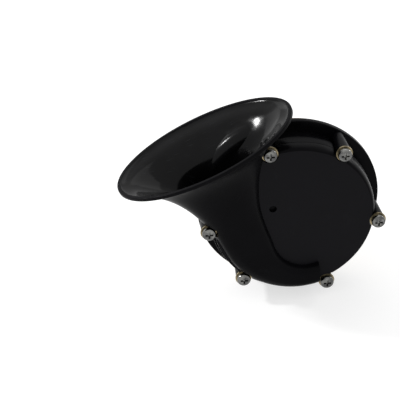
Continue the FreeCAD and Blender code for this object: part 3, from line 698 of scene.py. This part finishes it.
@dataclass
class Studio:
    """Floor, backdrop, lamps and camera."""

    eye: tuple[float, float, float] = (-140.9, -743.1, 457.7)
    look: tuple[float, float, float] = (0.1073, 0.8366, -0.5371)
    lens: float = 135.0
    sensor: float = 36.0
    floor_drop: float = 0.5
    floor_half: float = 6.0
    floor_grey: float = 0.5
    floor_glow: float = 0.65
    surround: float = 0.6

    def build(self) -> None:
        """Makes the whole studio."""
        self.floor()
        self.world()
        self.lamps()
        self.camera()

    def floor(self) -> None:
        """Pale floor just under the horn, white to the camera where nothing shades it."""
        work = bmesh.new()
        bmesh.ops.create_grid(work, x_segments=1, y_segments=1, size=self.floor_half)
        low = CAD_BOX[0][2] - self.floor_drop * MM
        bmesh.ops.translate(work, verts=work.verts, vec=Vector((0.0, 0.0, low)))
        mesh = bpy.data.meshes.new("floor")
        work.to_mesh(mesh)
        work.free()
        sheet = bpy.data.objects.new("floor", mesh)
        bpy.context.scene.collection.objects.link(sheet)
        made = bpy.data.materials.new("floor_white")
        made.use_nodes = True
        shader = made.node_tree.nodes["Principled BSDF"]
        shader.inputs["Base Color"].default_value = (self.floor_grey, self.floor_grey, self.floor_grey, 1.0)
        shader.inputs["Roughness"].default_value = 0.9
        shader.inputs["Specular IOR Level"].default_value = 0.0
        shader.inputs["Emission Color"].default_value = (1.0, 1.0, 1.0, 1.0)
        path = add_node(made.node_tree, "ShaderNodeLightPath")
        seen = self.seen(made.node_tree, path)
        glow = ramp(made.node_tree, 0.0, 1.0, 0.0, self.floor_glow)
        made.node_tree.links.new(seen.outputs["Value"], glow.inputs["Value"])
        made.node_tree.links.new(glow.outputs["Result"], shader.inputs["Emission Strength"])
        mesh.materials.append(made)

    def world(self) -> None:
        """Grey surroundings that the camera sees as white."""
        world = bpy.data.worlds.new("studio")
        world.use_nodes = True
        tree = world.node_tree
        background = tree.nodes["Background"]
        background.inputs["Color"].default_value = (1.0, 1.0, 1.0, 1.0)
        path = add_node(tree, "ShaderNodeLightPath")
        seen = self.seen(tree, path)
        level = ramp(tree, 0.0, 1.0, self.surround, 1.0)
        tree.links.new(seen.outputs["Value"], level.inputs["Value"])
        tree.links.new(level.outputs["Result"], background.inputs["Strength"])
        bpy.context.scene.world = world

    @staticmethod
    def seen(tree: bpy.types.NodeTree, path: bpy.types.Node) -> bpy.types.Node:
        """Joins the rays that see the white background: from the camera, off metal and through glass.

        Args:
            tree: Tree of the floor or the world.
            path: Its Light Path node.

        Returns:
            Node whose value is 1 for those rays.
        """
        total = add_node(tree, "ShaderNodeMath", operation="ADD", use_clamp=True)
        first = add_node(tree, "ShaderNodeMath", operation="ADD")
        tree.links.new(path.outputs["Is Camera Ray"], first.inputs[0])
        tree.links.new(path.outputs["Is Glossy Ray"], first.inputs[1])
        tree.links.new(first.outputs["Value"], total.inputs[0])
        tree.links.new(path.outputs["Is Transmission Ray"], total.inputs[1])
        return total

    def lamps(self) -> None:
        """Small box at the left, which the bell mirrors, a card behind it, one at the right and one above."""
        self.lamp("left_box", (-0.84, 0.14, 0.56), (-0.02, -0.04, 0.04), 0.09, 6.0)
        self.lamp("left_card", (-0.88, 0.72, 0.32), (-0.02, -0.04, 0.04), 0.6, 1.4)
        self.lamp("right_back", (0.8, 0.45, 0.35), (0.0, -0.04, 0.0), 0.25, 1.6)
        self.lamp("overhead", (0.1, 0.5, 1.0), (0.0, -0.04, 0.0), 0.8, 1.8)

    @staticmethod
    def lamp(name: str, place: Sequence[float], target: Sequence[float], width: float, power: float) -> None:
        """Adds a square area lamp.

        Args:
            name: Name of the lamp.
            place: Where it hangs, in metres.
            target: Point that it faces.
            width: Length of its side in metres.
            power: Watts.
        """
        data = bpy.data.lights.new(name, "AREA")
        data.size = width
        data.energy = power
        lamp = bpy.data.objects.new(name, data)
        lamp.location = place
        lamp.rotation_euler = (Vector(target) - Vector(place)).to_track_quat("-Z", "Y").to_euler()
        bpy.context.scene.collection.objects.link(lamp)

    def camera(self) -> None:
        """Camera at the photograph's place."""
        data = bpy.data.cameras.new("camera")
        data.lens = self.lens
        data.sensor_width = self.sensor
        camera = bpy.data.objects.new("camera", data)
        camera.location = Vector(self.eye) * MM
        camera.rotation_euler = Vector(self.look).to_track_quat("-Z", "Y").to_euler()
        bpy.context.scene.collection.objects.link(camera)
        bpy.context.scene.camera = camera


def main() -> None:
    """Builds the horn and its studio."""
    logging.basicConfig(level=logging.INFO, format="%(name)s: %(message)s")
    bpy.context.scene.view_settings.view_transform = "Standard"
    effects = EffectSet()
    for assembly in (Trumpet(), PlateEdge(), Stud(), Fittings()):
        for piece in assembly.build(effects):
            log.info("%s: %d faces", piece.name, len(piece.data.polygons))
    Studio().build()


if __name__ == "__main__":
    main()
